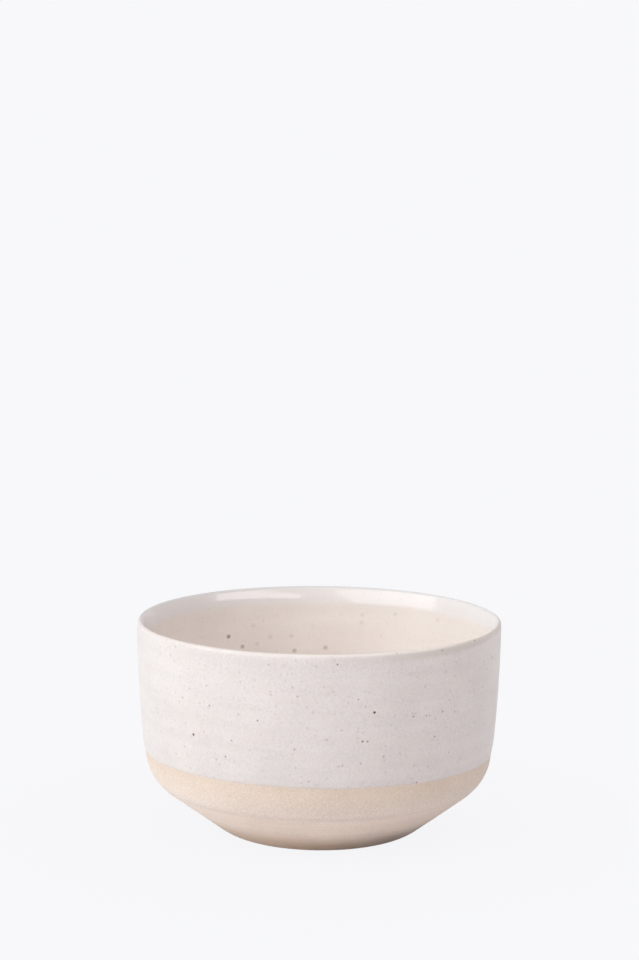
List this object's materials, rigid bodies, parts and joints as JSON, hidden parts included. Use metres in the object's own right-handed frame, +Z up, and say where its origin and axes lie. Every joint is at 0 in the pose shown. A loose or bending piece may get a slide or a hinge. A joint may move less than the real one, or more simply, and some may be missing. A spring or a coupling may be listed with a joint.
{
  "type": "espresso cup",
  "caption": "Handle-less stoneware espresso cup: near-straight wall, rounded shoulder and small foot, with a speckled white glaze inside and out above a bare clay base.",
  "frame": {"origin": "middle of the plane that the foot stands on", "axes": "+Z up along the cup's axis of turning; -Y faces the viewer of the reference picture"},
  "size_m": [0.075, 0.075, 0.044],
  "materials": {
    "bare_clay": "unglazed beige stoneware with fine sand and turning lines",
    "speckled_glaze": "satin off-white glaze with brown iron specks, thinner and warmer over the lip"
  },
  "bodies": {
    "root": {"clay_body": "bare_clay", "outer_glaze": "speckled_glaze", "liner_glaze": "speckled_glaze"}
  },
  "joints": []
}
